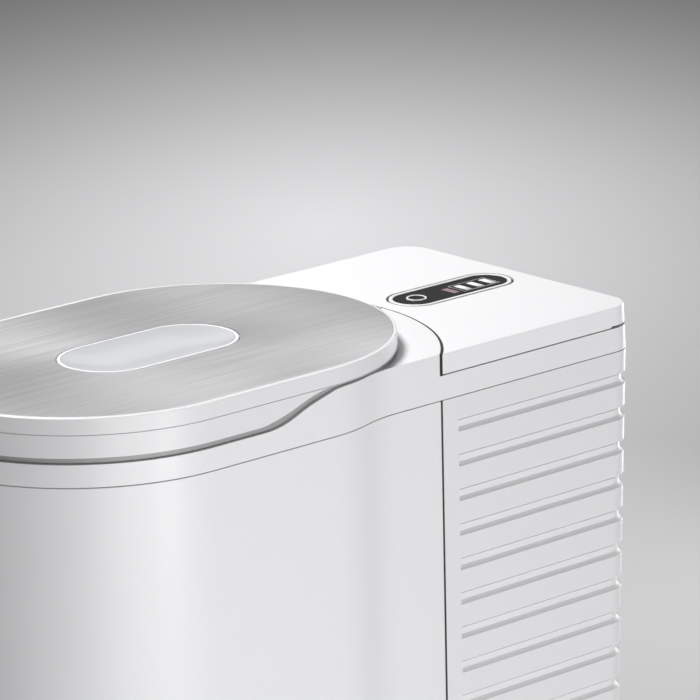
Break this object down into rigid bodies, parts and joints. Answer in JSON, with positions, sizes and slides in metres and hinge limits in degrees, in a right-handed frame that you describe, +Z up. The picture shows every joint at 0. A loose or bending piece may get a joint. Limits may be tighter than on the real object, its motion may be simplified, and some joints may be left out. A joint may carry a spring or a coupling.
{
  "type": "trash compactor",
  "caption": "Free-standing trash compactor: stadium bin under a hinged steel-topped lid with a telescopic ram, ribbed machine housing behind with a pill-shaped display",
  "frame": {"origin": "on the floor, under the middle of the object's box", "axes": "+X across the object, +Y from the lid's nose to the back, +Z up"},
  "size_m": [0.3, 0.615, 0.72],
  "materials": {
    "shell_white": "gloss",
    "rib_white": "satin",
    "cap_white": "gloss",
    "lid_white": "gloss",
    "steel_plate": "brushed",
    "pad_grey": "satin",
    "black_glass": "polished",
    "bar_white": "gloss",
    "bar_red": "gloss",
    "metal": "satin",
    "black": "matte",
    "grey_plastic": "matte",
    "rubber": "matte",
    "bin_grey": "matte",
    "circuit_board": "satin",
    "zinc": "satin"
  },
  "bodies": {
    "cabinet": {"alert_bar": "bar_red", "back_grille": "grey_plastic", "bag_ring": "metal", "base_pan": "grey_plastic", "bin_mat": "rubber", "bin_tray": "zinc", "bulkhead": "zinc", "button_switch": "black", "cap_seal": "rubber", "collar": "shell_white", "control_board": "circuit_board", "display_bezel": "cap_white", "display_board": "circuit_board", "display_gasket": "black", "display_glass": "black_glass", "display_tray": "black", "fan_shroud": "black", "front_shell": "shell_white", "hinge_cheeks": "metal", "hinge_screws": "metal", "inlet_pins": "metal", "levelling_feet": "rubber", "odour_filter": "black", "power_inlet": "black", "power_supply": "zinc", "rear_cap": "cap_white", "rear_shell": "rib_white", "seam_seals": "rubber", "status_bars": "bar_white", "status_frame": "pad_grey", "waste_bin": "bin_grey"},
    "lid": {"lid_shell": "lid_white", "lid_plate": "steel_plate", "pill_frame": "cap_white", "pad_springs": "metal", "lid_liner": "grey_plastic", "lid_seal": "rubber", "hinge_arm": "metal", "hinge_pin": "metal", "drive_case": "grey_plastic", "guide_sleeve": "zinc", "gear_motor": "zinc", "thrust_bearing": "metal", "drive_belt": "rubber", "lock_solenoid": "zinc"},
    "press_pad": {"press_pad": "pad_grey"},
    "lock_bolt": {"lock_bolt": "metal"},
    "motor_pulley": {"motor_pulley": "metal"},
    "drive_pulley": {"drive_pulley": "metal"},
    "ram_stage_1": {"ram_stage_1": "metal"},
    "ram_stage_2": {"ram_stage_2": "metal"},
    "ram": {"ram_post": "metal", "ram_plate": "metal", "ram_pad": "rubber"},
    "power_button": {"button_ring": "cap_white", "button_core": "black_glass"},
    "fan": {"fan": "black"}
  },
  "joints": [
    {"name": "lid_hinge", "type": "hinge", "parent": "cabinet", "child": "lid", "pos_m": [0, 0.1262, 0.708], "axis": [-1, 0, 0], "range_deg": [0, 78]},
    {"name": "stage_slide", "type": "slide", "parent": "lid", "child": "ram_stage_1", "axis": [0, 0, -1], "range_m": [0, 0.07]},
    {"name": "second_stage_slide", "type": "slide", "parent": "ram_stage_1", "child": "ram_stage_2", "axis": [0, 0, -1], "range_m": [0, 0.07]},
    {"name": "ram_slide", "type": "slide", "parent": "ram_stage_2", "child": "ram", "axis": [0, 0, -1], "range_m": [0, 0.07]},
    {"name": "drive_pulley_spin", "type": "hinge", "parent": "lid", "child": "drive_pulley", "pos_m": [0, -0.09565, 0.69], "axis": [0, 0, 1], "range_deg": [0, 2162]},
    {"name": "motor_pulley_spin", "type": "hinge", "parent": "lid", "child": "motor_pulley", "pos_m": [0, -0.17365, 0.69], "axis": [0, 0, 1], "range_deg": [0, 6490]},
    {"name": "press_pad_push", "type": "slide", "parent": "lid", "child": "press_pad", "axis": [0, 0, -1], "range_m": [0, 0.0025], "stiffness_N_per_m": 900, "springref_m": -0.003, "deforming": ["pad_springs"]},
    {"name": "lock_bolt_slide", "type": "slide", "parent": "lid", "child": "lock_bolt", "axis": [0, -1, 0], "range_m": [0, 0.01], "stiffness_N_per_m": 60, "springref_m": -0.01},
    {"name": "power_button_push", "type": "slide", "parent": "cabinet", "child": "power_button", "axis": [0, 0, -1], "range_m": [0, 0.0012], "stiffness_N_per_m": 600, "springref_m": -0.001},
    {"name": "fan_spin", "type": "hinge", "parent": "cabinet", "child": "fan", "pos_m": [0, 0.1537, 0.56], "axis": [0, 1, 0], "continuous": true}
  ],
  "couplings": [
    {"joint": "second_stage_slide", "follows": "stage_slide", "ratio": 1},
    {"joint": "ram_slide", "follows": "stage_slide", "ratio": 1},
    {"joint": "drive_pulley_spin", "follows": "stage_slide", "rad_per_m": 538.56},
    {"joint": "motor_pulley_spin", "follows": "stage_slide", "rad_per_m": 1615.7}
  ]
}
